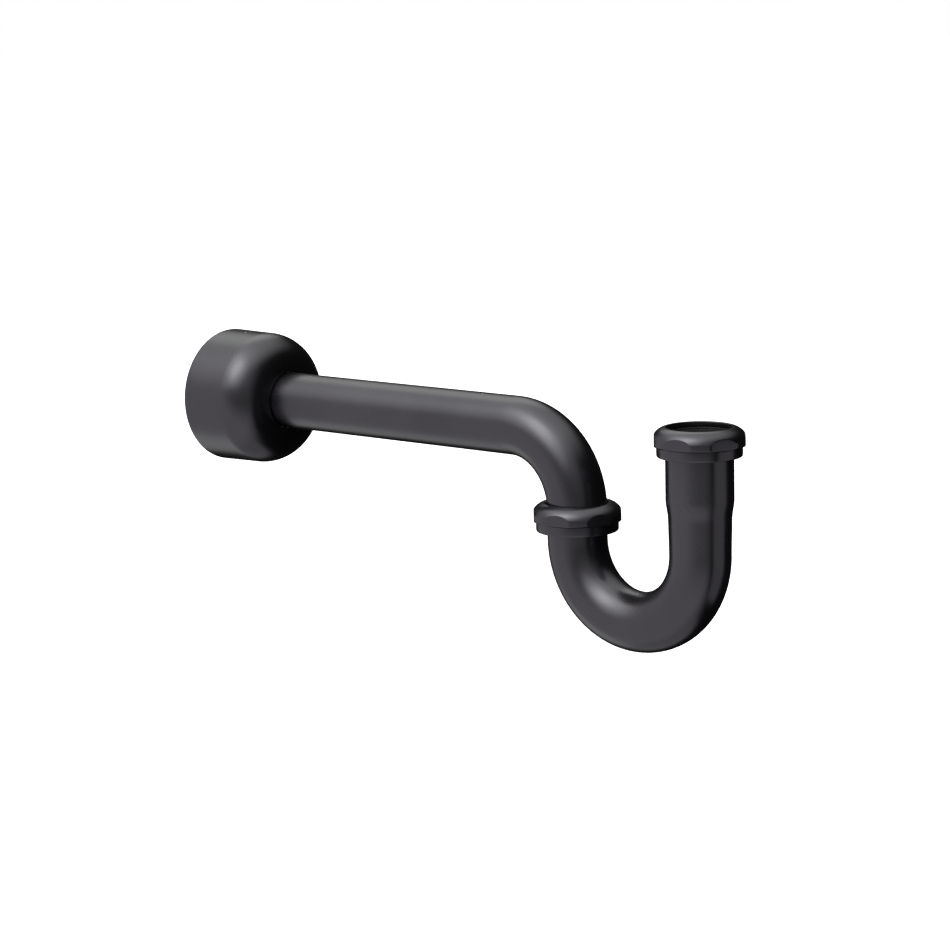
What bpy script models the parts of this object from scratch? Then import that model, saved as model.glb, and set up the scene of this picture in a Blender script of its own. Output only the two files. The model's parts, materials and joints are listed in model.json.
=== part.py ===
"""P trap for a wall-drained basin, in 1 1/4 inch (31.75 mm) tubular brass with a black finish.

The frame: the origin is on the arm's axis in the plane of the wall, +X runs out of the wall along
the arm, +Z is up. Water falls through the inlet, stands in the U of the J bend, and leaves along
the arm into the wall. The J bend hangs from the arm's elbow on a slip joint. A box escutcheon covers
the wall joint. All sizes below are in millimetres, and MM turns them into Blender's metres.
"""

import math

import bmesh
import bpy
from mathutils import Vector

MM = 0.001

# Tubing: 1 1/4 inch, 17 gauge. The J bend's inlet is belled, so that the basin's tail fits inside.
TUBE_R = 31.75 / 2
TUBE_WALL = 1.14
BELL_R = 17.4

# Centreline of the run, in the plane Y = 0.
ARM_END_X = -14.0  # the arm reaches this far into the wall
ARM_STRAIGHT_X = 218.3
ELBOW_R = 40.8
OUTLET_X = ARM_STRAIGHT_X + ELBOW_R
J_TOP_Z = -56.3
J_R = 39.8
INLET_OFFSET = 2 * J_R  # from the outlet's axis to the inlet's

# The inlet leg widens slowly over the first stretch, and flares to the bell over the second.
INLET_TAPER_Z = (-56.0, -30.0)
INLET_FLARE_Z = (-37.0, -27.0)
TAPER_SHARE = 0.3

# Slip nut. Heights are above its open, threaded end.
NUT_H = 15.0
NUT_COLLAR_R = 21.8
NUT_COLLAR_H = 5.1
NUT_COLLAR_ROUND = 1.1
NUT_GROOVE_R = 21.5
NUT_HEX_BASE = 5.6
NUT_HEX_CHAMFER = 0.6
NUT_LAND_R = 24.2  # the round left between two wrench flats
NUT_APOTHEM = 23.0
NUT_DOME_R = 8.15
NUT_DOME_AXIS = (16.2, 7.0)  # radius and height of the dome arc's centre
NUT_HOLE_R = 16.6
NUT_LIP_ROUND = 0.4
NUT_SEAT_H = 12.2
NUT_BORE_R = 20.25
NUT_THREAD_R = 20.95
NUT_THREAD_BASE = 1.1

# Threads: 11 1/2 to the inch, three turns in the nut and a little less on the ferrule.
THREAD_PITCH = 25.4 / 11.5
THREAD_HALF_ROOT = 0.38 * THREAD_PITCH
THREAD_HALF_TIP = 0.11 * THREAD_PITCH
THREAD_LOWEST = 0.08  # share of its height that the ridge has at its very ends
NUT_THREAD_TURNS = 3.0
FERRULE_THREAD_TURNS = 2.5
THREAD_RUN_OUT = 1 / 3  # of a turn at each end, over which the thread grows to its full height
THREAD_BURY = 0.35  # the ridge starts this deep in the metal that it joins

# Threaded ferrules, brazed on the J bend's two ends.
FERRULE_ROOT_R = 18.9
FERRULE_CREST_R = 20.0
FERRULE_BASE = 0.6
FERRULE_TOP = 8.0
FERRULE_MOUTH_R = 18.5
FERRULE_MOUTH_DEPTH = 0.8
SOCKET_GAP = 0.3
OUTLET_TUBE_TOP = 3.0  # heights above the outlet nut's open end
ARM_TIP = 3.6
INLET_BELL_TOP = 7.0

# The seal that the nut squeezes onto the ferrule's mouth. Heights are above the nut's open end.
SEAL_BORE_R = 16.2
WASHER_R = 19.5
WASHER_FOOT_R = 17.2
WASHER_BASE = 7.4
WASHER_BEVEL = 2.0
WASHER_TOP = 11.0
RING_BORE_R = 16.3
RING_R = 19.9
RING_BASE = 11.2
RING_TOP = 12.0

# Where each nut's open end is, and how far its flats are turned.
OUTLET_NUT_Z = -52.1
INLET_NUT_Z = -5.2
WALL_NUT_X = 6.0
OUTLET_NUT_TURN = math.radians(40)
INLET_NUT_TURN = math.radians(37)
WALL_NUT_TURN = math.radians(12)

# Box escutcheon, a spun shell with slight draft and a neck turned in round the arm.
BOX_WALL = 1.2
BOX_REAR_R = 38.2
BOX_SHOULDER_R = 37.6
BOX_SHOULDER_X = 28.0
BOX_ROUND = 20.0
BOX_DEPTH = BOX_SHOULDER_X + BOX_ROUND
NECK_R = 16.4
NECK_ROUND = 0.8
NECK_END_X = 39.8
GRIP_X = 43.0  # middle of the grip ring and of its groove
GRIP_HALF_W = 1.25
GRIP_GROOVE_R = 18.4
GRIP_BEAD = 1.0  # the neck swells round the groove over this length
GRIP_BEAD_DEG = 84  # how far up the shoulder's inner arc the swelling meets it
GRIP_MIDDLE_R = 17.15
GRIP_CORD_R = 0.9

# Facets
TUBE_SEGMENTS = 32
TURNED_SEGMENTS = 32
BOX_SEGMENTS = 40
SEAL_SEGMENTS = 24
THREAD_SEGMENTS = 20
ELBOW_STEPS = 10
U_STEPS = 16
TAPER_STEPS = 2
FLARE_STEPS = 4
SHOULDER_STEPS = 7
DOME_STEPS = 5
ROUND_STEPS = 2
CORD_SEGMENTS = 8
SHARP = math.radians(32)


def clear_scene():
    for obj in list(bpy.data.objects):
        bpy.data.objects.remove(obj)


def finish(name, colour, roughness, metallic):
    """A Principled material with one colour."""
    made = bpy.data.materials.new(name)
    made.use_nodes = True
    shader = made.node_tree.nodes["Principled BSDF"]
    shader.inputs["Base Color"].default_value = (*colour, 1.0)
    shader.inputs["Roughness"].default_value = roughness
    shader.inputs["Metallic"].default_value = metallic
    made.diffuse_color = (*colour, 1.0)
    return made


def mesh_through(name, loops, closed):
    """A solid through loops of points, each joined to the next.

    A closed one joins its last loop to its first, as a tube's two walls do. Any other is capped."""
    bm = bmesh.new()
    rows = [[bm.verts.new(Vector(point) * MM) for point in loop] for loop in loops]
    pairs = list(zip(rows, rows[1:]))
    if closed:
        pairs.append((rows[-1], rows[0]))
    else:
        bm.faces.new(rows[0])
        bm.faces.new(reversed(rows[-1]))
    for low, high in pairs:
        count = len(low)
        for i in range(count):
            j = (i + 1) % count
            bm.faces.new((low[i], low[j], high[j], high[i]))
    bmesh.ops.recalc_face_normals(bm, faces=bm.faces)
    mesh = bpy.data.meshes.new(name)
    bm.to_mesh(mesh)
    bm.free()
    return mesh


def circle(radius, height, segments):
    """Points of a circle round +Z."""
    step = 2 * math.pi / segments
    return [(radius * math.cos(i * step), radius * math.sin(i * step), height) for i in range(segments)]


def turned_mesh(name, outline, segments=TURNED_SEGMENTS):
    """The closed outline of (radius, height) points turned round +Z."""
    return mesh_through(name, [circle(r, h, segments) for r, h in outline], closed=True)


def arc(middle, radius, start_deg, end_deg, steps):
    """Points of (radius, height) along an arc; 0 degrees points outward and 90 upward."""
    points = []
    for i in range(steps + 1):
        a = math.radians(start_deg + (end_deg - start_deg) * i / steps)
        points.append((middle[0] + radius * math.cos(a), middle[1] + radius * math.sin(a)))
    return points


def spaced(start, end, steps):
    """Even steps from start to end, with both of them."""
    return [start + (end - start) * i / steps for i in range(steps + 1)]


def smooth_step(start, end, at):
    t = min(1.0, max(0.0, (at - start) / (end - start)))
    return t * t * (3 - 2 * t)


def tube_mesh(name, stations):
    """A hollow tube in the plane Y = 0, through stations of (x, z, heading, outer radius).

    The heading is the angle in XZ that the tube runs along, from +X towards +Z."""

    def loop(station, radius):
        x, z, heading, _ = station
        across = Vector((-math.sin(heading), 0, math.cos(heading)))
        return [
            Vector((x, 0, z)) + across * u + Vector((0, v, 0))
            for u, v, _ in circle(radius, 0, TUBE_SEGMENTS)
        ]

    outside = [loop(s, s[3]) for s in stations]
    inside = [loop(s, s[3] - TUBE_WALL) for s in reversed(stations)]
    return mesh_through(name, outside + inside, closed=True)


def thread_mesh(name, wall_r, tip_r, base, turns):
    """A right-handed ridge that winds up +Z from a wall to its tip, which may be inside or outside it."""
    inner_r = wall_r - math.copysign(THREAD_BURY, tip_r - wall_r)
    loops = []
    for turn in spaced(0, turns, round(turns * THREAD_SEGMENTS)):
        grown = min(1.0, turn / THREAD_RUN_OUT, (turns - turn) / THREAD_RUN_OUT)
        top_r = wall_r + (tip_r - wall_r) * (THREAD_LOWEST + (1 - THREAD_LOWEST) * grown)
        middle = base + turn * THREAD_PITCH
        outline = (
            (inner_r, middle - THREAD_HALF_ROOT),
            (top_r, middle - THREAD_HALF_TIP),
            (top_r, middle + THREAD_HALF_TIP),
            (inner_r, middle + THREAD_HALF_ROOT),
        )
        a = 2 * math.pi * turn
        loops.append([(r * math.cos(a), r * math.sin(a), h) for r, h in outline])
    return mesh_through(name, loops, closed=False)


def combined(name, base, other, operation):
    """The mesh that a Boolean modifier makes of two meshes."""
    body = bpy.data.objects.new(name, base)
    tool = bpy.data.objects.new(name + "_tool", other)
    for obj in (body, tool):
        bpy.context.scene.collection.objects.link(obj)
    cut = body.modifiers.new("cut", "BOOLEAN")
    cut.operation = operation
    cut.object = tool
    graph = bpy.context.evaluated_depsgraph_get()
    made = bpy.data.meshes.new_from_object(body.evaluated_get(graph))
    made.name = name
    bpy.data.objects.remove(body)
    bpy.data.objects.remove(tool)
    return made


def axis_empty(name, place, parent=None):
    """An empty on a joint's axis, which carries the pieces that move on it."""
    made = bpy.data.objects.new(name, None)
    made.location = Vector(place) * MM
    made.parent = parent
    bpy.context.scene.collection.objects.link(made)
    return made


def add_piece(name, mesh, material, parent, height=0.0, turn=0.0):
    """One piece, standing at a height on its parent's axis and turned about it."""
    obj = bpy.data.objects.new(name, mesh)
    obj.parent = parent
    obj.location = (0, 0, height * MM)
    obj.rotation_euler = (0, 0, turn)
    mesh.materials.clear()
    mesh.materials.append(material)
    mesh.shade_smooth()
    mesh.set_sharp_from_angle(angle=SHARP)
    bpy.context.scene.collection.objects.link(obj)
    return obj


def arm_mesh():
    """The arm: straight out of the wall, then down through the elbow into the J bend's ferrule."""
    stations = [(ARM_END_X, 0, 0, TUBE_R)]
    for a in spaced(0, math.pi / 2, ELBOW_STEPS):
        x = ARM_STRAIGHT_X + ELBOW_R * math.sin(a)
        stations.append((x, -ELBOW_R * (1 - math.cos(a)), -a, TUBE_R))
    stations.append((OUTLET_X, OUTLET_NUT_Z + ARM_TIP, -math.pi / 2, TUBE_R))
    return tube_mesh("wall_arm_tube", stations)


def inlet_radius(z):
    """The outer radius of the J bend's inlet leg at a height."""
    taper = TAPER_SHARE * smooth_step(*INLET_TAPER_Z, z)
    flare = (1 - TAPER_SHARE) * smooth_step(*INLET_FLARE_Z, z)
    return TUBE_R + (BELL_R - TUBE_R) * (taper + flare)


def j_bend_mesh():
    """The J bend, with X = 0 on its outlet's axis: down, round the U, and up the long inlet leg."""
    down, up = -math.pi / 2, math.pi / 2
    stations = [(0, OUTLET_NUT_Z + OUTLET_TUBE_TOP, down, TUBE_R)]
    for a in spaced(0, math.pi, U_STEPS):
        stations.append((J_R * (1 - math.cos(a)), J_TOP_Z - J_R * math.sin(a), down + a, TUBE_R))
    heights = spaced(J_TOP_Z, INLET_FLARE_Z[0], TAPER_STEPS)[1:]
    heights += spaced(*INLET_FLARE_Z, FLARE_STEPS)[1:]
    heights.append(INLET_NUT_Z + INLET_BELL_TOP)
    stations += [(INLET_OFFSET, z, up, inlet_radius(z)) for z in heights]
    return tube_mesh("j_bend_tube", stations)


def nut_outline():
    """Half the section of the nut's turned blank: up the outside, over the dome and down the bore."""
    dome_r, dome_h = NUT_DOME_AXIS
    land_angle = math.degrees(math.acos((NUT_LAND_R - dome_r) / NUT_DOME_R))
    lip_angle = math.degrees(math.asin((NUT_H - dome_h) / NUT_DOME_R))
    outline = arc((NUT_COLLAR_R - NUT_COLLAR_ROUND, NUT_COLLAR_ROUND), NUT_COLLAR_ROUND, -90, 0, ROUND_STEPS)
    outline += [
        (NUT_COLLAR_R, NUT_COLLAR_H),
        (NUT_GROOVE_R, NUT_HEX_BASE),
        (NUT_LAND_R - NUT_HEX_CHAMFER, NUT_HEX_BASE),
        (NUT_LAND_R, NUT_HEX_BASE + NUT_HEX_CHAMFER),
    ]
    outline += arc(NUT_DOME_AXIS, NUT_DOME_R, land_angle, lip_angle, DOME_STEPS)
    lip = (NUT_HOLE_R + NUT_LIP_ROUND, NUT_H - NUT_LIP_ROUND)
    outline += arc(lip, NUT_LIP_ROUND, 90, 180, ROUND_STEPS)
    outline += [
        (NUT_HOLE_R, NUT_SEAT_H),
        (NUT_BORE_R, NUT_SEAT_H),
        (NUT_BORE_R, 0.0),
    ]
    return outline


def slip_nut_mesh():
    """A domed nut: a turned blank with six flats milled on it and a thread in its open end.

    One flat faces +X."""
    blank = turned_mesh("slip_nut_blank", nut_outline())
    prism = bmesh.new()
    corner_r = NUT_APOTHEM / math.cos(math.pi / 6)
    bmesh.ops.create_cone(
        prism,
        cap_ends=True,
        segments=6,
        radius1=corner_r * MM,
        radius2=corner_r * MM,
        depth=3 * NUT_H * MM,
    )
    flats = bpy.data.meshes.new("slip_nut_flats")
    prism.to_mesh(flats)
    prism.free()
    milled = combined("slip_nut_milled", blank, flats, "INTERSECT")
    groove = thread_mesh("slip_nut_groove", NUT_BORE_R, NUT_THREAD_R, NUT_THREAD_BASE, NUT_THREAD_TURNS)
    return combined("slip_nut", milled, groove, "DIFFERENCE")


def ferrule_mesh(name, bore_r):
    """The threaded collar brazed on one end of the J bend, with a bevelled mouth for the washer."""
    outline = [
        (bore_r, FERRULE_BASE),
        (FERRULE_ROOT_R, FERRULE_BASE),
        (FERRULE_ROOT_R, FERRULE_TOP),
        (FERRULE_MOUTH_R, FERRULE_TOP),
        (FERRULE_MOUTH_R - FERRULE_MOUTH_DEPTH, FERRULE_TOP - FERRULE_MOUTH_DEPTH),
    ]
    if bore_r < FERRULE_MOUTH_R - FERRULE_MOUTH_DEPTH:
        outline.append((bore_r, FERRULE_TOP - FERRULE_MOUTH_DEPTH))
    collar = turned_mesh(name + "_collar", outline)
    ridge_base = (FERRULE_BASE + FERRULE_TOP - FERRULE_THREAD_TURNS * THREAD_PITCH) / 2
    ridge = thread_mesh(name + "_ridge", FERRULE_ROOT_R, FERRULE_CREST_R, ridge_base, FERRULE_THREAD_TURNS)
    return combined(name, collar, ridge, "UNION")


def washer_mesh():
    """The rubber slip washer, bevelled to wedge into the ferrule's mouth."""
    outline = [
        (SEAL_BORE_R, WASHER_BASE),
        (WASHER_FOOT_R, WASHER_BASE),
        (WASHER_R, WASHER_BASE + WASHER_BEVEL),
        (WASHER_R, WASHER_TOP),
        (SEAL_BORE_R, WASHER_TOP),
    ]
    return turned_mesh("slip_washer", outline, SEAL_SEGMENTS)


def friction_ring_mesh():
    """The thin nylon ring that lets the nut turn without dragging the washer round."""
    outline = [
        (RING_BORE_R, RING_BASE),
        (RING_R, RING_BASE),
        (RING_R, RING_TOP),
        (RING_BORE_R, RING_TOP),
    ]
    return turned_mesh("friction_ring", outline, SEAL_SEGMENTS)


def escutcheon_mesh():
    """The box escutcheon's shell, turned round its own +Z, which lies along the arm."""
    shoulder = (BOX_SHOULDER_R - BOX_ROUND, BOX_SHOULDER_X)
    groove_low, groove_high = GRIP_X - GRIP_HALF_W, GRIP_X + GRIP_HALF_W
    outline = [(BOX_REAR_R, 0)]
    outline += arc(shoulder, BOX_ROUND, 0, 90, SHOULDER_STEPS)
    outline += arc((NECK_R + NECK_ROUND, BOX_DEPTH - NECK_ROUND), NECK_ROUND, 90, 180, ROUND_STEPS)
    outline += [
        (NECK_R, groove_high),
        (GRIP_GROOVE_R, groove_high),
        (GRIP_GROOVE_R, groove_low),
        (NECK_R, groove_low),
        (NECK_R, NECK_END_X),
        (NECK_R + BOX_WALL, NECK_END_X),
        (NECK_R + BOX_WALL, groove_low - GRIP_BEAD),
        (GRIP_GROOVE_R + BOX_WALL, groove_low),
    ]
    outline += arc(shoulder, BOX_ROUND - BOX_WALL, GRIP_BEAD_DEG, 0, SHOULDER_STEPS)
    outline.append((BOX_REAR_R - BOX_WALL, 0))
    return turned_mesh("box_escutcheon", outline, BOX_SEGMENTS)


def grip_ring_mesh():
    """The rubber ring in the escutcheon's neck, which holds it wherever it is slid on the arm."""
    last_deg = 360 - 360 / CORD_SEGMENTS
    outline = arc((GRIP_MIDDLE_R, 0), GRIP_CORD_R, 0, last_deg, CORD_SEGMENTS - 1)
    return turned_mesh("grip_ring", outline, SEAL_SEGMENTS)


def build():
    clear_scene()
    black = finish("satin_black", (0.045, 0.044, 0.047), 0.38, 0.6)
    brass = finish("raw_brass", (0.72, 0.53, 0.26), 0.3, 1.0)
    rubber = finish("black_rubber", (0.02, 0.02, 0.02), 0.8, 0.0)
    nylon = finish("black_nylon", (0.03, 0.03, 0.032), 0.45, 0.0)

    nut = slip_nut_mesh()
    washer = washer_mesh()
    ring = friction_ring_mesh()

    arm = add_piece("wall_arm_tube", arm_mesh(), black, None)
    arm_axis = axis_empty("arm_axis", (0, 0, 0), arm)
    arm_axis.rotation_euler = (0, math.pi / 2, 0)  # its own +Z runs along the arm
    outlet_axis = axis_empty("outlet_axis", (OUTLET_X, 0, 0), arm)
    inlet_axis = axis_empty("inlet_axis", (INLET_OFFSET, 0, 0), outlet_axis)

    add_piece("box_escutcheon", escutcheon_mesh(), black, arm_axis)
    add_piece("escutcheon_grip_ring", grip_ring_mesh(), rubber, arm_axis, GRIP_X)
    add_piece("j_bend_tube", j_bend_mesh(), black, outlet_axis)

    joints = (
        ("wall", arm_axis, WALL_NUT_X, WALL_NUT_TURN),
        ("outlet", outlet_axis, OUTLET_NUT_Z, OUTLET_NUT_TURN),
        ("inlet", inlet_axis, INLET_NUT_Z, INLET_NUT_TURN),
    )
    for place, axis, base, turn in joints:
        add_piece(place + "_slip_nut", nut, black, axis, base, turn)
        add_piece(place + "_friction_ring", ring, nylon, axis, base)
        add_piece(place + "_slip_washer", washer, rubber, axis, base)

    outlet_ferrule = ferrule_mesh("outlet_ferrule", TUBE_R + SOCKET_GAP)
    inlet_ferrule = ferrule_mesh("inlet_ferrule", BELL_R + SOCKET_GAP)
    add_piece("outlet_ferrule", outlet_ferrule, brass, outlet_axis, OUTLET_NUT_Z)
    add_piece("inlet_ferrule", inlet_ferrule, brass, inlet_axis, INLET_NUT_Z)


build()
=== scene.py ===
"""Looks for the P trap: its finer meshes, its materials, the studio light and the camera.

Every piece is rebuilt at the size and place of the CAD node that it stands for. The frame is the CAD's,
in metres: the arm runs along +X from the wall, and the J bend hangs from its elbow.
"""

import json
import math

import bpy
import numpy as np
from mathutils import Matrix, Vector


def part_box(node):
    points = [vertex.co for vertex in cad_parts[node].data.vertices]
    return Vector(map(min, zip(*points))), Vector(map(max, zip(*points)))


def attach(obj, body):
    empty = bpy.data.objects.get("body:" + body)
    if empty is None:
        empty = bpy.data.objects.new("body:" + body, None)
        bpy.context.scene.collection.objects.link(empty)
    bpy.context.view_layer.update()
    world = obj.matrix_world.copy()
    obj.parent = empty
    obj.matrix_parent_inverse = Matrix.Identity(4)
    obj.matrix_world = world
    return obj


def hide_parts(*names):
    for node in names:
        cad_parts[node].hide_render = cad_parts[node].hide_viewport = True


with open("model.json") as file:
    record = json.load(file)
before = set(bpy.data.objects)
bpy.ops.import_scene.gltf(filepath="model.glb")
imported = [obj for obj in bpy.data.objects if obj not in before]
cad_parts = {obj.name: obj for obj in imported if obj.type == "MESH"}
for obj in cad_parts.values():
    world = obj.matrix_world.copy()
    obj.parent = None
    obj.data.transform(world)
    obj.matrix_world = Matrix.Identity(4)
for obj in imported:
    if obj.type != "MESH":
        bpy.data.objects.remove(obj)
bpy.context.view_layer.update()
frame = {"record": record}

MM = 0.001

# Sizes that the frame's boxes don't give, in millimetres.
TUBE_WALL = 1.14
TUBE_LIP = 0.25  # the easing of a tube's cut ends
ELBOW_R = 40.8
OUTLET_TUBE_TOP = 3.0  # the J bend's short leg ends this far above its nut's open end
INLET_TAPER_Z = (-56.0, -30.0)
INLET_FLARE_Z = (-37.0, -27.0)
TAPER_SHARE = 0.3
BELL_R = 17.4
NUT_H = 15.0
NUT_COLLAR_R = 21.8
NUT_COLLAR_H = 5.1
NUT_COLLAR_ROUND = 1.1
NUT_GROOVE_R = 21.5
NUT_HEX_BASE = 5.6
NUT_CHAMFER_R = 23.55  # the chamfer under the hexagon starts at this radius
NUT_LEAST_CHAMFER = 0.14
NUT_LAND_R = 24.15
NUT_LAND_EASE = 0.09  # how softly a flat runs into the round land beside it
NUT_APOTHEM = 23.0
NUT_DOME_R = 8.15
NUT_DOME_AXIS = (16.2, 7.0)  # radius and height of the dome arc's centre
NUT_HOLE_R = 16.6
NUT_SEAT_H = 12.2
NUT_BORE_R = 20.25
NUT_THREAD_R = 20.95
NUT_THREAD_BASE = 1.1
NUT_THREAD_TURNS = 3.0
THREAD_PITCH = 25.4 / 11.5
THREAD_HALF_ROOT = 0.30 * THREAD_PITCH
THREAD_HALF_TIP = 0.11 * THREAD_PITCH
THREAD_RUN_OUT = 1 / 3  # of a turn at each end, over which the thread grows
FERRULE_ROOT_R = 18.9
FERRULE_CREST_R = 19.97
FERRULE_MOUTH_R = 18.5
FERRULE_MOUTH_DEPTH = 0.8
FERRULE_THREAD_TURNS = 2.5
SOCKET_GAP = 0.3
SEAL_BORE_R = 15.9  # the rubber grips the tube, so no light shows past it
WASHER_R = 19.5
WASHER_FOOT_R = 17.2
WASHER_BEVEL = 2.0
RING_BORE_R = 16.3
RING_R = 19.9
BOX_WALL = 1.2
BOX_SHOULDER_X = 28.0
BOX_SHOULDER_R = 37.6
BOX_ROUND = 20.0
NECK_R = 16.4
NECK_ROUND = 0.8
NECK_END_X = 39.8
GRIP_X = 43.0
GRIP_HALF_W = 1.25
GRIP_GROOVE_R = 18.4
GRIP_BEAD = 1.0
GRIP_MIDDLE_R = 17.15
GRIP_CORD_R = 0.9
SMALL_EASE = 0.12
NUT_TURNS = {"outlet": math.radians(40), "inlet": math.radians(37), "wall": math.radians(12)}

# Mesh fineness
TUBE_COLUMNS = 96
NUT_COLUMNS = 432
FERRULE_COLUMNS = 192
BOX_COLUMNS = 192
SEAL_COLUMNS = 96
EASE_ROWS = 5
LIP_ROWS = 4
DOME_ROWS = 24
BOX_SIDE_ROWS = 12
ELBOW_ROWS = 73
ARM_LEG_ROWS = 6
U_ROWS = 129
INLET_LEG_ROWS = 60
TUBE_ROW_MM = 3.0  # a straight tube's rows are at most this far apart
THREAD_ROW_MM = 0.14

# Colours, as linear red, green and blue
COAT_DARK = (0.1025, 0.097, 0.1125)
COAT_PALE = (0.116, 0.110, 0.124)
COAT_WORN = (0.16, 0.158, 0.168)
COAT_METALLIC = 0.95
COAT_ROUGHNESS = 0.25
BRASS = (0.74, 0.53, 0.25)
BRASS_BRIGHT = (0.76, 0.55, 0.26)
BRASS_TARNISHED = (0.42, 0.27, 0.12)
RUBBER = (0.018, 0.018, 0.018)
RUBBER_DARK = (0.014, 0.014, 0.014)
RUBBER_BLOOM = (0.035, 0.035, 0.036)
NYLON = (0.03, 0.03, 0.032)
NYLON_DARK = (0.024, 0.024, 0.026)
NYLON_PALE = (0.038, 0.038, 0.041)
WHITE = (1.0, 1.0, 1.0, 1.0)

# Studio. A camera azimuth of 0 looks along +Y, and of 90 along -X.
FLOOR_Z = -0.55  # a basin's trap hangs about this far above the floor
FLOOR_HALF = 60.0
FLOOR_COLOUR = (0.9, 0.9, 0.9, 1.0)
CAMERA_AIM = Vector((0.18831, 0, -0.02992))
CAMERA_DISTANCE = 1.3744
CAMERA_AZIMUTH = math.radians(41.35)
CAMERA_ELEVATION = math.radians(10.16)
CAMERA_ROLL = math.radians(-1.40)
CAMERA_SENSOR = 36.0
CAMERA_LENS = 96.08

# The tent of light. Each patch has its direction as (azimuth, elevation) in degrees, where azimuth 0 is
# +X and 90 is +Y, the cosines off that direction at which it starts and is full, and its level.
FILL = ((-103, 0), -0.3, 0.43, 0.57)
BELOW = ((-131, -71), 0.72, 0.83, 0.42)
LAMPS = (
    ((150, 83), 0.5, 1.0, 1.05),  # overhead
    ((140, 41), 0.9, 1.0, 0.9),  # behind
    ((-116, 45), 0.82, 1.0, 1.0),  # the key light's two halves
    ((-82, 45), 0.86, 1.0, 1.0),
    ((-98, 51), 0.92, 0.995, 0.65),  # its core
    ((177, -40), 0.94, 0.995, 0.42),  # low, on the wall's side
)
LAMP_TINT = (0.96, 1.0, 0.93, 1.0)
DARK_LEVEL = 0.01
GAP = ((-36, 40), 0.0, 0.75, 0.7)  # here the fill is dimmed, by this level
GAP_HEIGHTS = (0.04, 0.9)  # sines of elevation: the dimming is whole below one and gone above the other
FLAG = ((34, -10), 0.61, 0.67)  # hides the fill and the lamps

# The lights that stand in the scene, in metres
STRIP_AT = Vector((0.4028, 0.0116, -0.07))
STRIP_AIM = Vector((0.355, -0.003, -0.07))
STRIP_SIZE = (0.051, 0.14)
STRIP_RADIANCE = 0.3
BACK_AIM = Vector((0.17, 0.0, -0.03))
BACK_FROM = (135, 12)
BACK_DISTANCE = 1.2
BACK_SIZE = (0.6, 0.6)
BACK_RADIANCE = 55.0


# Meshes


def mesh_of_grid(name, points):
    """A mesh from points[row, column] in millimetres, joined to itself both ways, as a ring's skin is."""
    rows, columns, _ = points.shape
    index = np.arange(rows * columns).reshape(rows, columns)
    right = np.roll(index, -1, axis=1)
    below = np.roll(index, -1, axis=0)
    across = np.roll(right, -1, axis=0)
    faces = np.stack([index, right, across, below], axis=-1).reshape(-1, 4)
    corners = points.reshape(-1, 3)[faces]
    if np.einsum("ij,ij->", corners[:, 0], np.cross(corners[:, 1], corners[:, 2])) < 0:
        faces = faces[:, ::-1]
    mesh = bpy.data.meshes.new(name)
    mesh.from_pydata((points.reshape(-1, 3) * MM).tolist(), [], faces.tolist())
    mesh.shade_smooth()
    return mesh


def angles_round(columns):
    return np.arange(columns) * 2 * math.pi / columns


def rounded(corners):
    """Rows through closed corners of (radius, height, cut), each eased over its cut.

    A corner with no cut gives one row. A radius or a height may be one number or one for each column.
    The result is rows[row, column, (radius, height)]."""
    flat = [value for corner in corners for value in corner[:2]]
    flat = np.broadcast_arrays(*[np.atleast_1d(np.asarray(value, float)) for value in flat])
    points = np.stack(flat, axis=0).reshape(len(corners), 2, -1).transpose(0, 2, 1)
    rows = []
    for i, (_, _, cut) in enumerate(corners):
        here = points[i]
        if not cut:
            rows.append(here)
            continue
        ends = []
        for other in (points[i - 1], points[(i + 1) % len(points)]):
            away = other - here
            length = np.linalg.norm(away, axis=1, keepdims=True)
            ends.append(here + away / length * np.minimum(cut, 0.45 * length))
        for share in np.linspace(0, 1, EASE_ROWS):
            left = 1 - share
            rows.append(left**2 * ends[0] + 2 * share * left * here + share * share * ends[1])
    return np.array(rows)


def turned(name, rows, columns):
    """A turned solid round +Z from rows[row, column, (radius, height)]."""
    angle = angles_round(columns)
    rows = np.broadcast_to(rows, (len(rows), columns, 2))
    radius, height = rows[:, :, 0], rows[:, :, 1]
    return mesh_of_grid(name, np.stack([radius * np.cos(angle), radius * np.sin(angle), height], axis=-1))


def thread_share(height, angle, base, turns):
    """How far the thread stands out at a height and an angle, from 0 to 1."""
    share = np.zeros(angle.shape)
    for whole in range(math.ceil(turns)):
        turn = angle / (2 * math.pi) + whole
        grown = np.clip(np.minimum(turn, turns - turn) / THREAD_RUN_OUT, 0, 1)
        off = np.abs(height - base - turn * THREAD_PITCH)
        flank = np.clip((THREAD_HALF_ROOT - off) / (THREAD_HALF_ROOT - THREAD_HALF_TIP), 0, 1)
        share = np.maximum(share, flank * grown)
    return share


def threaded_wall(start, end, wall_r, tip_r, base, turns, columns):
    """Rows of a wall from one height to another, with its thread standing out of it or cut into it."""
    angle = angles_round(columns)
    rows = []
    for height in np.linspace(start, end, math.ceil(abs(end - start) / THREAD_ROW_MM) + 1):
        radius = wall_r + (tip_r - wall_r) * thread_share(height, angle, base, turns)
        rows.append(np.stack([radius, np.full(columns, height)], axis=-1))
    return rows


def arc(middle, radius, start_deg, end_deg, steps):
    """Sharp corners along an arc; 0 degrees points outward and 90 upward."""
    corners = []
    for angle in np.radians(np.linspace(start_deg, end_deg, steps + 1)):
        corners.append((middle[0] + radius * math.cos(angle), middle[1] + radius * math.sin(angle), 0))
    return corners


def with_wall(corners, wall, last, columns):
    """Rows of an outline whose last side is a threaded wall.

    The wall's rows lead to the last (radius, height), which replaces the outline's last corner."""
    outline = rounded(corners)[:-1]
    outline = np.broadcast_to(outline, (len(outline), columns, 2))
    rim = np.broadcast_to(np.array(last), (1, columns, 2))
    return np.concatenate([outline, np.array(wall), rim])


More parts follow.
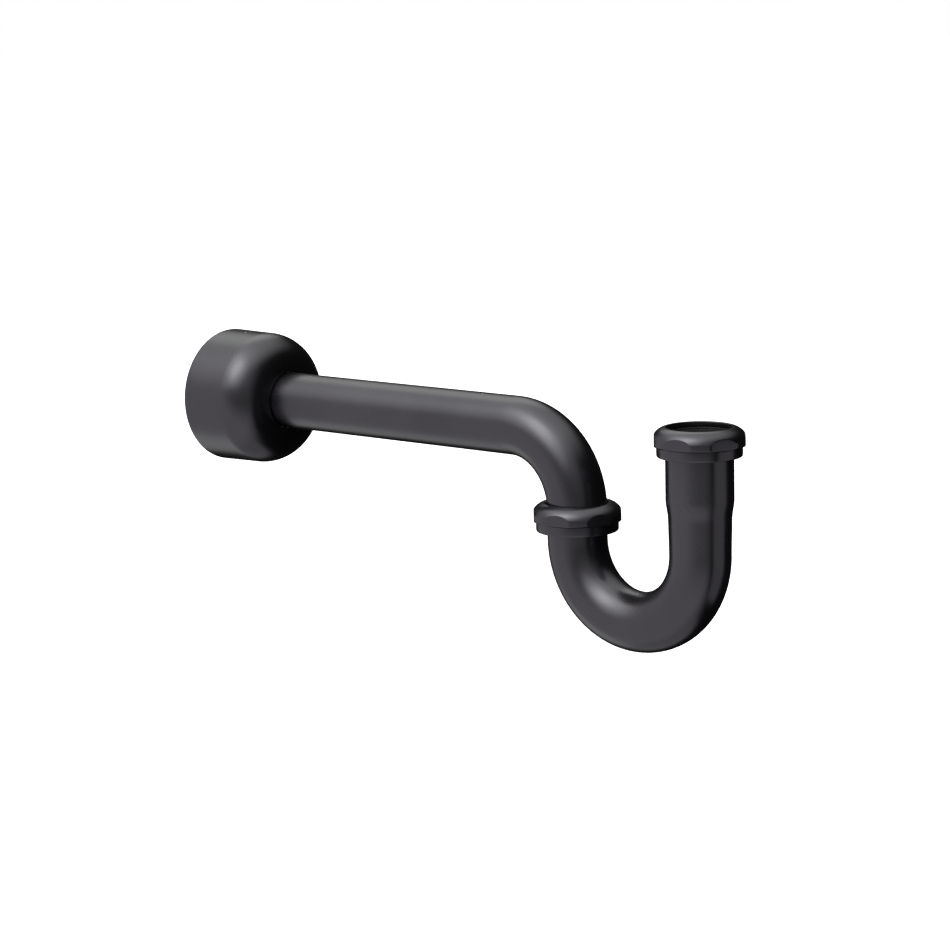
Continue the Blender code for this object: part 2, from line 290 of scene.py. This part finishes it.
def nut_mesh(name):
    """A domed slip nut with six flats, its open end at height 0."""
    off_flat = (angles_round(NUT_COLUMNS) + math.pi / 6) % (math.pi / 3) - math.pi / 6
    flat_r = NUT_APOTHEM / np.cos(off_flat)
    both = np.exp(-NUT_LAND_R / NUT_LAND_EASE) + np.exp(-flat_r / NUT_LAND_EASE)
    wall_r = -NUT_LAND_EASE * np.log(both)
    chamfer = np.maximum(wall_r - NUT_CHAMFER_R, NUT_LEAST_CHAMFER)
    dome_r, dome_h = NUT_DOME_AXIS
    first = np.arccos((wall_r - dome_r) / NUT_DOME_R)
    last = math.asin((NUT_H - dome_h) / NUT_DOME_R)
    corners = [
        (NUT_COLLAR_R, 0.0, NUT_COLLAR_ROUND),
        (NUT_COLLAR_R, NUT_COLLAR_H, 0.2),
        (NUT_GROOVE_R, NUT_HEX_BASE, 0.1),
        (wall_r - chamfer, NUT_HEX_BASE, SMALL_EASE),
        (wall_r, NUT_HEX_BASE + chamfer, SMALL_EASE),
        (wall_r, dome_h + NUT_DOME_R * np.sin(first), 0.3),
    ]
    for share in np.linspace(0, 1, DOME_ROWS + 1)[1:]:
        angle = first + (last - first) * share
        corners.append((dome_r + NUT_DOME_R * np.cos(angle), dome_h + NUT_DOME_R * np.sin(angle), 0))
    corners += [
        (NUT_HOLE_R, NUT_H, 0.45),
        (NUT_HOLE_R, NUT_SEAT_H, SMALL_EASE),
        (NUT_BORE_R, NUT_SEAT_H, SMALL_EASE),
        (NUT_BORE_R, 0.0, 0),
    ]
    start, end = NUT_SEAT_H - 0.2, 0.15
    wall = threaded_wall(
        start, end, NUT_BORE_R, NUT_THREAD_R, NUT_THREAD_BASE, NUT_THREAD_TURNS, NUT_COLUMNS
    )
    mouth = (NUT_BORE_R + SMALL_EASE, 0.0)
    return turned(name, with_wall(corners, wall, mouth, NUT_COLUMNS), NUT_COLUMNS)


def ferrule_mesh(name, bore_r, base, top):
    """A threaded collar with a bevelled mouth for the washer."""
    mouth_r = FERRULE_MOUTH_R - FERRULE_MOUTH_DEPTH
    mouth_h = top - FERRULE_MOUTH_DEPTH
    corners = [(FERRULE_MOUTH_R, top, SMALL_EASE), (mouth_r, mouth_h, SMALL_EASE)]
    if bore_r < mouth_r:
        corners.append((bore_r, mouth_h, SMALL_EASE))
    corners += [
        (bore_r, base, SMALL_EASE),
        (FERRULE_ROOT_R, base, SMALL_EASE),
        (FERRULE_ROOT_R, top, 0),
    ]
    start, end = base + 0.15, top - 0.1
    ridge_base = (base + top - FERRULE_THREAD_TURNS * THREAD_PITCH) / 2
    wall = threaded_wall(
        start, end, FERRULE_ROOT_R, FERRULE_CREST_R, ridge_base, FERRULE_THREAD_TURNS, FERRULE_COLUMNS
    )
    rim = (FERRULE_ROOT_R - 0.1, top)
    return turned(name, with_wall(corners, wall, rim, FERRULE_COLUMNS), FERRULE_COLUMNS)


def washer_mesh(name, base, top):
    corners = [
        (SEAL_BORE_R, base, 0.2),
        (WASHER_FOOT_R, base, 0.2),
        (WASHER_R, base + WASHER_BEVEL, 0.3),
        (WASHER_R, top, 0.35),
        (SEAL_BORE_R, top, 0.35),
    ]
    return turned(name, rounded(corners), SEAL_COLUMNS)


def friction_ring_mesh(name, base, top):
    ease = 0.15
    corners = [
        (RING_BORE_R, base, ease),
        (RING_R, base, ease),
        (RING_R, top, ease),
        (RING_BORE_R, top, ease),
    ]
    return turned(name, rounded(corners), SEAL_COLUMNS)


def escutcheon_mesh(name, rear_r, depth):
    """The box escutcheon's shell round +Z, with its back rim at height 0."""
    shoulder = (BOX_SHOULDER_R - BOX_ROUND, BOX_SHOULDER_X)
    shares = np.linspace(0, 1, BOX_SIDE_ROWS + 1)[1:-1]
    low, high = GRIP_X - GRIP_HALF_W, GRIP_X + GRIP_HALF_W
    corners = [(rear_r - BOX_WALL, 0.0, 0.25), (rear_r, 0.0, 0.3)]
    for share in shares:
        corners.append((rear_r + (BOX_SHOULDER_R - rear_r) * share, BOX_SHOULDER_X * share, 0))
    corners += arc(shoulder, BOX_ROUND, 0, 90, 48)
    corners += [
        (NECK_R, depth, NECK_ROUND),
        (NECK_R, high, 0.1),
        (GRIP_GROOVE_R, high, 0.1),
        (GRIP_GROOVE_R, low, 0.1),
        (NECK_R, low, 0.1),
        (NECK_R, NECK_END_X, 0.2),
        (NECK_R + BOX_WALL, NECK_END_X, 0.2),
        (NECK_R + BOX_WALL, low - GRIP_BEAD, 0.3),
        (GRIP_GROOVE_R + BOX_WALL, low, 0.3),
    ]
    corners += arc(shoulder, BOX_ROUND - BOX_WALL, 84, 0, 36)
    for share in shares:
        radius = BOX_SHOULDER_R - BOX_WALL + (rear_r - BOX_SHOULDER_R) * share
        corners.append((radius, BOX_SHOULDER_X * (1 - share), 0))
    return turned(name, rounded(corners), BOX_COLUMNS)


def grip_ring_mesh(name):
    """A round rubber cord in the groove of the escutcheon's neck."""
    cord = arc((GRIP_MIDDLE_R, GRIP_X), GRIP_CORD_R, 0, 345, 23)
    return turned(name, rounded(cord), SEAL_COLUMNS)


def smooth_step(start, end, at):
    share = np.clip((at - start) / (end - start), 0, 1)
    return share * share * (3 - 2 * share)


def tube_mesh(name, places, headings, radii):
    """A hollow tube along places (x, z), with eased ends.

    A heading is the angle in XZ from +X towards +Z that the tube runs along at a place."""
    along = np.stack([np.cos(headings), np.sin(headings)], axis=-1)
    angle = angles_round(TUBE_COLUMNS)
    rows = []

    def ring(place, heading, radius):
        across = radius * np.cos(angle)
        x = place[0] - math.sin(heading) * across
        z = place[1] + math.cos(heading) * across
        rows.append(np.stack([x, radius * np.sin(angle), z], axis=-1))

    def lip(at, inward, outer):
        """The eased corner at one end, on the outer or the inner wall."""
        sign = -1 if outer else 1
        base = radii[at] - (0 if outer else TUBE_WALL)
        found = []
        for share in np.linspace(0, 1, LIP_ROWS):
            cut = TUBE_LIP * (1 - math.sin(math.acos(1 - share)))
            found.append((places[at] + inward * along[at] * TUBE_LIP * share, base + sign * cut))
        return found

    for place, radius in lip(0, 1, True):
        ring(place, headings[0], radius)
    for i in range(1, len(places) - 1):
        ring(places[i], headings[i], radii[i])
    for place, radius in reversed(lip(-1, -1, True)):
        ring(place, headings[-1], radius)
    for place, radius in lip(-1, -1, False):
        ring(place, headings[-1], radius)
    for i in range(len(places) - 2, 0, -1):
        ring(places[i], headings[i], radii[i] - TUBE_WALL)
    for place, radius in reversed(lip(0, 1, False)):
        ring(place, headings[0], radius)
    return mesh_of_grid(name, np.array(rows))


def even(start, end):
    """Even places from start up to, but not at, end."""
    return np.linspace(start, end, math.ceil(abs(end - start) / TUBE_ROW_MM), endpoint=False)


def arm_mesh(name):
    """The arm, from its end in the wall, round the elbow, and down its short leg."""
    low, high = (np.array(corner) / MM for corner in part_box("wall_arm_tube"))
    tube_r = high[1]
    outlet_x = high[0] - tube_r
    straight_x = outlet_x - ELBOW_R
    places, headings = [], []
    for x in even(low[0], straight_x):
        places.append((x, 0.0))
        headings.append(0.0)
    for angle in np.linspace(0, math.pi / 2, ELBOW_ROWS):
        places.append((straight_x + ELBOW_R * math.sin(angle), -ELBOW_R * (1 - math.cos(angle))))
        headings.append(-angle)
    for z in np.linspace(-ELBOW_R, low[2], ARM_LEG_ROWS)[1:]:
        places.append((outlet_x, z))
        headings.append(-math.pi / 2)
    return tube_mesh(name, np.array(places), np.array(headings), np.full(len(places), tube_r))


def j_bend_mesh(name):
    """The J bend, from its short leg's top, round the U, and up the long leg to its bell."""
    low, high = (np.array(corner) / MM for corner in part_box("j_bend_tube"))
    tube_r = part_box("wall_arm_tube")[1].y / MM
    outlet_x = low[0] + tube_r
    inlet_x = high[0] - BELL_R
    bend_r = (inlet_x - outlet_x) / 2
    bend_z = low[2] + tube_r + bend_r
    outlet_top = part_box("outlet_slip_nut")[0].z / MM + OUTLET_TUBE_TOP
    places = [(outlet_x, z) for z in even(outlet_top, bend_z)]
    headings = [-math.pi / 2] * len(places)
    for angle in np.linspace(0, math.pi, U_ROWS):
        places.append((outlet_x + bend_r * (1 - math.cos(angle)), bend_z - bend_r * math.sin(angle)))
        headings.append(angle - math.pi / 2)
    for z in np.linspace(bend_z, high[2], INLET_LEG_ROWS)[1:]:
        places.append((inlet_x, z))
        headings.append(math.pi / 2)
    places, headings = np.array(places), np.array(headings)
    taper = TAPER_SHARE * smooth_step(*INLET_TAPER_Z, places[:, 1])
    flare = (1 - TAPER_SHARE) * smooth_step(*INLET_FLARE_Z, places[:, 1])
    on_inlet_leg = places[:, 0] > inlet_x - 1
    return tube_mesh(name, places, headings, tube_r + (BELL_R - tube_r) * on_inlet_leg * (taper + flare))


# Materials


def node(tree, kind, **settings):
    """A shader node; a setting is a property, an input's value, or a socket to link to that input."""
    made = tree.nodes.new(kind)
    for key, value in settings.items():
        name = key.replace("_", " ")
        if hasattr(made, key):
            setattr(made, key, value)
        elif isinstance(value, bpy.types.NodeSocket):
            tree.links.new(value, made.inputs[name])
        else:
            made.inputs[name].default_value = value
    return made


def new_material(name, colour, metallic):
    """A material, its node tree, its Principled shader and its object coordinates."""
    made = bpy.data.materials.new(name)
    made.use_nodes = True
    tree = made.node_tree
    shader = tree.nodes["Principled BSDF"]
    shader.inputs["Base Color"].default_value = (*colour, 1.0)
    shader.inputs["Metallic"].default_value = metallic
    return made, tree, shader, tree.nodes.new("ShaderNodeTexCoord").outputs["Object"]


def noise(tree, place, scale, detail):
    return node(tree, "ShaderNodeTexNoise", Vector=place, Scale=scale, Detail=detail).outputs["Fac"]


def remap(tree, value, low, high, start=0.3, end=0.7, kind="LINEAR"):
    """The value from start to end, spread from low to high. Noise lies mostly between 0.3 and 0.7."""
    made = node(tree, "ShaderNodeMapRange", interpolation_type=kind, Value=value)
    for key, number in (("From Min", start), ("From Max", end), ("To Min", low), ("To Max", high)):
        made.inputs[key].default_value = number
    return made.outputs["Result"]


def mix_colours(tree, share, first, second):
    """The first colour, turning into the second as the share grows; the first may be a socket."""
    made = tree.nodes.new("ShaderNodeMix")
    made.data_type = "RGBA"
    tree.links.new(share, made.inputs["Factor"])
    if isinstance(first, bpy.types.NodeSocket):
        tree.links.new(first, made.inputs["A"])
    else:
        made.inputs["A"].default_value = (*first, 1.0)
    made.inputs["B"].default_value = (*second, 1.0)
    return next(s for s in made.outputs if s.type == "RGBA")


def math_node(tree, operation, *values):
    """A sum on values that are numbers or sockets."""
    made = tree.nodes.new("ShaderNodeMath")
    made.operation = operation
    for socket, value in zip(made.inputs, values):
        if isinstance(value, bpy.types.NodeSocket):
            tree.links.new(value, socket)
        else:
            socket.default_value = value
    return made.outputs["Value"]


def add_bump(tree, shader, layers):
    """Bump from layers of (height socket, distance in millimetres)."""
    normal = None
    for height, distance in layers:
        bump = node(tree, "ShaderNodeBump", Height=height, Distance=distance * MM, Strength=1.0)
        if normal is not None:
            tree.links.new(normal, bump.inputs["Normal"])
        normal = bump.outputs["Normal"]
    tree.links.new(normal, shader.inputs["Normal"])


def satin_black():
    """The baked satin coat: near black, with a fine orange peel and edges rubbed a little brighter."""
    made, tree, shader, place = new_material("satin_black_coat", COAT_DARK, COAT_METALLIC)
    patches = noise(tree, place, scale=28.0, detail=4.0)
    peel = noise(tree, place, scale=950.0, detail=2.0)
    specks = noise(tree, place, scale=4200.0, detail=1.0)
    point = node(tree, "ShaderNodeNewGeometry").outputs["Pointiness"]
    edges = remap(tree, point, low=0.0, high=1.0, start=0.53, end=0.60)
    scuffs = noise(tree, place, scale=260.0, detail=4.0)
    broken = remap(tree, scuffs, low=0.0, high=1.0, start=0.42, end=0.62)
    worn = math_node(tree, "MULTIPLY", edges, broken)
    tone = mix_colours(tree, remap(tree, patches, low=0.0, high=1.0), COAT_DARK, COAT_PALE)
    tone = mix_colours(tree, worn, tone, COAT_WORN)
    tree.links.new(tone, shader.inputs["Base Color"])
    rough = remap(tree, patches, low=COAT_ROUGHNESS - 0.02, high=COAT_ROUGHNESS + 0.02)
    grit = remap(tree, specks, low=-0.015, high=0.015)
    tree.links.new(math_node(tree, "ADD", rough, grit), shader.inputs["Roughness"])
    add_bump(tree, shader, [(peel, 0.006), (specks, 0.0012)])
    return made


def raw_brass():
    """Machined brass: fine turning lines and a little tarnish in patches."""
    made, tree, shader, place = new_material("machined_brass", BRASS, 1.0)
    height = node(tree, "ShaderNodeSeparateXYZ", Vector=place).outputs["Z"]
    stretched = node(tree, "ShaderNodeCombineXYZ", Z=math_node(tree, "MULTIPLY", height, 9000.0))
    lines = noise(tree, stretched.outputs["Vector"], scale=1.0, detail=2.0)
    tarnish = noise(tree, place, scale=120.0, detail=5.0)
    share = remap(tree, tarnish, low=0.0, high=1.0, start=0.45, end=0.7)
    tone = mix_colours(tree, share, BRASS_BRIGHT, BRASS_TARNISHED)
    tree.links.new(tone, shader.inputs["Base Color"])
    dulled = remap(tree, tarnish, low=0.22, high=0.4)
    rough = math_node(tree, "ADD", dulled, remap(tree, lines, low=-0.04, high=0.04))
    tree.links.new(rough, shader.inputs["Roughness"])
    add_bump(tree, shader, [(lines, 0.004)])
    return made


def black_rubber():
    """Moulded rubber: dull, with a fine skin and a slight grey bloom."""
    made, tree, shader, place = new_material("washer_rubber", RUBBER, 0.0)
    bloom = noise(tree, place, scale=180.0, detail=5.0)
    skin = noise(tree, place, scale=2600.0, detail=3.0)
    share = remap(tree, bloom, low=0.0, high=1.0, start=0.4, end=0.75)
    tone = mix_colours(tree, share, RUBBER_DARK, RUBBER_BLOOM)
    tree.links.new(tone, shader.inputs["Base Color"])
    tree.links.new(remap(tree, skin, low=0.68, high=0.86), shader.inputs["Roughness"])
    add_bump(tree, shader, [(skin, 0.01)])
    return made


def black_nylon():
    """Moulded nylon: slightly waxy, with faint flow marks."""
    made, tree, shader, place = new_material("ring_nylon", NYLON, 0.0)
    flow = noise(tree, place, scale=420.0, detail=4.0)
    tone = mix_colours(tree, remap(tree, flow, low=0.0, high=1.0), NYLON_DARK, NYLON_PALE)
    tree.links.new(tone, shader.inputs["Base Color"])
    tree.links.new(remap(tree, flow, low=0.38, high=0.52), shader.inputs["Roughness"])
    add_bump(tree, shader, [(flow, 0.006)])
    return made


# Pieces


def add_piece(cad_node, mesh, material):
    """A piece that stands for a CAD node, and rides on that node's body."""
    piece = bpy.data.objects.new(cad_node + "_look", mesh)
    bpy.context.scene.collection.objects.link(piece)
    mesh.materials.append(material)
    bodies = frame["record"]["behaviour"]["bodies"]
    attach(piece, next(body for body, nodes in bodies.items() if cad_node in nodes))
    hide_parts(cad_node)


def build_pieces():
    """All fifteen pieces, each at the place of its CAD node."""
    coat, brass = satin_black(), raw_brass()
    rubber, nylon = black_rubber(), black_nylon()
    arm_axis = Matrix.Rotation(math.pi / 2, 4, "Y")  # carries +Z onto the arm's +X
    add_piece("wall_arm_tube", arm_mesh("arm_skin"), coat)
    add_piece("j_bend_tube", j_bend_mesh("j_bend_skin"), coat)

    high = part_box("box_escutcheon")[1]
    cover = escutcheon_mesh("escutcheon_skin", high.z / MM, high.x / MM)
    cover.transform(arm_axis)
    add_piece("box_escutcheon", cover, coat)
    grip = grip_ring_mesh("grip_ring_skin")
    grip.transform(arm_axis)
    add_piece("escutcheon_grip_ring", grip, rubber)

    for place, turn in NUT_TURNS.items():
        low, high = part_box(place + "_slip_nut")
        if place == "wall":
            stand = Matrix.Translation((low.x, 0, 0)) @ arm_axis
            foot, along = low.x, 0
        else:
            middle = (low + high) / 2
            stand = Matrix.Translation((middle.x, 0, low.z))
            foot, along = low.z, 2
        nut = nut_mesh(place + "_nut_skin")
        nut.transform(stand @ Matrix.Rotation(turn, 4, "Z"))
        add_piece(place + "_slip_nut", nut, coat)
        for part, maker, material, slot in (
            ("_slip_washer", washer_mesh, rubber, "black_rubber"),
            ("_friction_ring", friction_ring_mesh, nylon, "black_nylon"),
        ):
            heights = [(corner[along] - foot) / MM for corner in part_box(place + part)]
            ring = maker(place + part + "_skin", *heights)
            ring.transform(stand)
            add_piece(place + part, ring, material)
        if place != "wall":
            tube_r = BELL_R if place == "inlet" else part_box("wall_arm_tube")[1].y / MM
            heights = [(corner.z - foot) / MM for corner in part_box(place + "_ferrule")]
            ferrule = ferrule_mesh(place + "_ferrule_skin", tube_r + SOCKET_GAP, *heights)
            ferrule.transform(stand)
            add_piece(place + "_ferrule", ferrule, brass)


# Studio


def add_floor():
    """A pale floor that only the camera sees."""
    mesh = bpy.data.meshes.new("floor")
    half = FLOOR_HALF
    corners = [(-half, -half), (half, -half), (half, half), (-half, half)]
    mesh.from_pydata([(x, y, FLOOR_Z) for x, y in corners], [], [(0, 1, 2, 3)])
    floor = bpy.data.objects.new("floor", mesh)
    bpy.context.scene.collection.objects.link(floor)
    material = bpy.data.materials.new("pale_floor")
    material.use_nodes = True
    shader = material.node_tree.nodes["Principled BSDF"]
    shader.inputs["Base Color"].default_value = FLOOR_COLOUR
    shader.inputs["Roughness"].default_value = 0.9
    shader.inputs["Emission Color"].default_value = WHITE
    shader.inputs["Emission Strength"].default_value = 1.0
    mesh.materials.append(material)
    floor.visible_glossy = False
    floor.visible_diffuse = False


def direction(azimuth_deg, elevation_deg):
    """A unit vector; azimuth 0 is +X and 90 is +Y."""
    azimuth, elevation = math.radians(azimuth_deg), math.radians(elevation_deg)
    level = math.cos(elevation)
    return Vector((math.cos(azimuth) * level, math.sin(azimuth) * level, math.sin(elevation)))


def lobe(tree, place, towards, start, full, level=1.0):
    """A soft patch round a direction.

    It starts at one cosine of the angle off that direction, and has its whole level at the other."""
    dot = node(tree, "ShaderNodeVectorMath", operation="DOT_PRODUCT")
    tree.links.new(place, dot.inputs[0])
    dot.inputs[1].default_value = direction(*towards)
    return remap(tree, dot.outputs["Value"], 0.0, level, start, full, kind="SMOOTHSTEP")


def add_world():
    """White to the camera, and to the object a tent of light.

    The tent has a white fill on the near side and underneath, dimmed in a gap by the camera. It has tinted
    lamps overhead, behind, high on the near side, and low on the wall's side. A flag on the right hides
    the fill and the lamps."""
    world = bpy.data.worlds.new("studio")
    bpy.context.scene.world = world
    world.use_nodes = True
    tree = world.node_tree
    place = tree.nodes.new("ShaderNodeTexCoord").outputs["Generated"]
    up = node(tree, "ShaderNodeSeparateXYZ", Vector=place).outputs["Z"]
    fill = math_node(tree, "MAXIMUM", lobe(tree, place, *FILL), lobe(tree, place, *BELOW))
    height = math_node(tree, "ABSOLUTE", up)
    near_horizon = remap(tree, height, 1.0, 0.0, *GAP_HEIGHTS, kind="SMOOTHSTEP")
    gap = math_node(tree, "MULTIPLY", near_horizon, lobe(tree, place, *GAP))
    fill = math_node(tree, "MULTIPLY", fill, math_node(tree, "SUBTRACT", 1.0, gap))
    shown = math_node(tree, "SUBTRACT", 1.0, lobe(tree, place, *FLAG))
    fill = math_node(tree, "MULTIPLY", fill, shown)
    level = 0.0
    for lamp in LAMPS:
        level = math_node(tree, "ADD", lobe(tree, place, *lamp), level)
    level = math_node(tree, "ADD", math_node(tree, "MULTIPLY", level, shown), DARK_LEVEL)
    cloth = tree.nodes["Background"]
    tree.links.new(fill, cloth.inputs["Strength"])
    cloth.inputs["Color"].default_value = WHITE
    lamps = node(tree, "ShaderNodeBackground", Color=LAMP_TINT, Strength=level)
    tent = tree.nodes.new("ShaderNodeAddShader")
    tree.links.new(cloth.outputs[0], tent.inputs[0])
    tree.links.new(lamps.outputs[0], tent.inputs[1])
    white = node(tree, "ShaderNodeBackground", Color=WHITE, Strength=1.0)
    seen = node(tree, "ShaderNodeLightPath").outputs["Is Camera Ray"]
    either = node(tree, "ShaderNodeMixShader", Fac=seen)
    tree.links.new(tent.outputs[0], either.inputs[1])
    tree.links.new(white.outputs[0], either.inputs[2])
    tree.links.new(either.outputs[0], tree.nodes["World Output"].inputs["Surface"])


def add_light(name, at, aim, size, radiance):
    """A soft rectangular light that the camera doesn't see."""
    lamp = bpy.data.lights.new(name, "AREA")
    lamp.shape = "RECTANGLE"
    lamp.size, lamp.size_y = size
    lamp.energy = radiance * math.pi * size[0] * size[1]
    light = bpy.data.objects.new(name, lamp)
    light.matrix_world = Matrix.LocRotScale(at, (at - aim).to_track_quat("Z", "Y"), None)
    light.visible_camera = False
    bpy.context.scene.collection.objects.link(light)
    return light


def add_lights():
    """A narrow strip by the inlet leg, and a light behind that lifts the far side of the trap.

    The second stays out of the reflections, so it doesn't brighten the outlines seen from the front."""
    add_light("strip", STRIP_AT, STRIP_AIM, STRIP_SIZE, STRIP_RADIANCE)
    back_at = BACK_AIM + BACK_DISTANCE * direction(*BACK_FROM)
    back = add_light("back", back_at, BACK_AIM, BACK_SIZE, BACK_RADIANCE)
    back.visible_glossy = False


def add_camera():
    """The camera, which stands back from its aim and leans over a little."""
    level = math.cos(CAMERA_ELEVATION)
    sine, cosine = math.sin(CAMERA_AZIMUTH), math.cos(CAMERA_AZIMUTH)
    back = Vector((sine * level, -cosine * level, math.sin(CAMERA_ELEVATION)))
    right = Vector((cosine, sine, 0))
    turn = Matrix((right, back.cross(right), back)).transposed() @ Matrix.Rotation(CAMERA_ROLL, 3, "Z")
    at = CAMERA_AIM + back * CAMERA_DISTANCE
    camera = bpy.data.objects.new("camera", bpy.data.cameras.new("camera"))
    camera.data.sensor_width = CAMERA_SENSOR
    camera.data.lens = CAMERA_LENS
    camera.matrix_world = Matrix.LocRotScale(at, turn.to_quaternion(), None)
    bpy.context.scene.collection.objects.link(camera)
    bpy.context.scene.camera = camera


build_pieces()
add_floor()
add_world()
add_lights()
add_camera()
bpy.context.scene.view_settings.view_transform = "Standard"
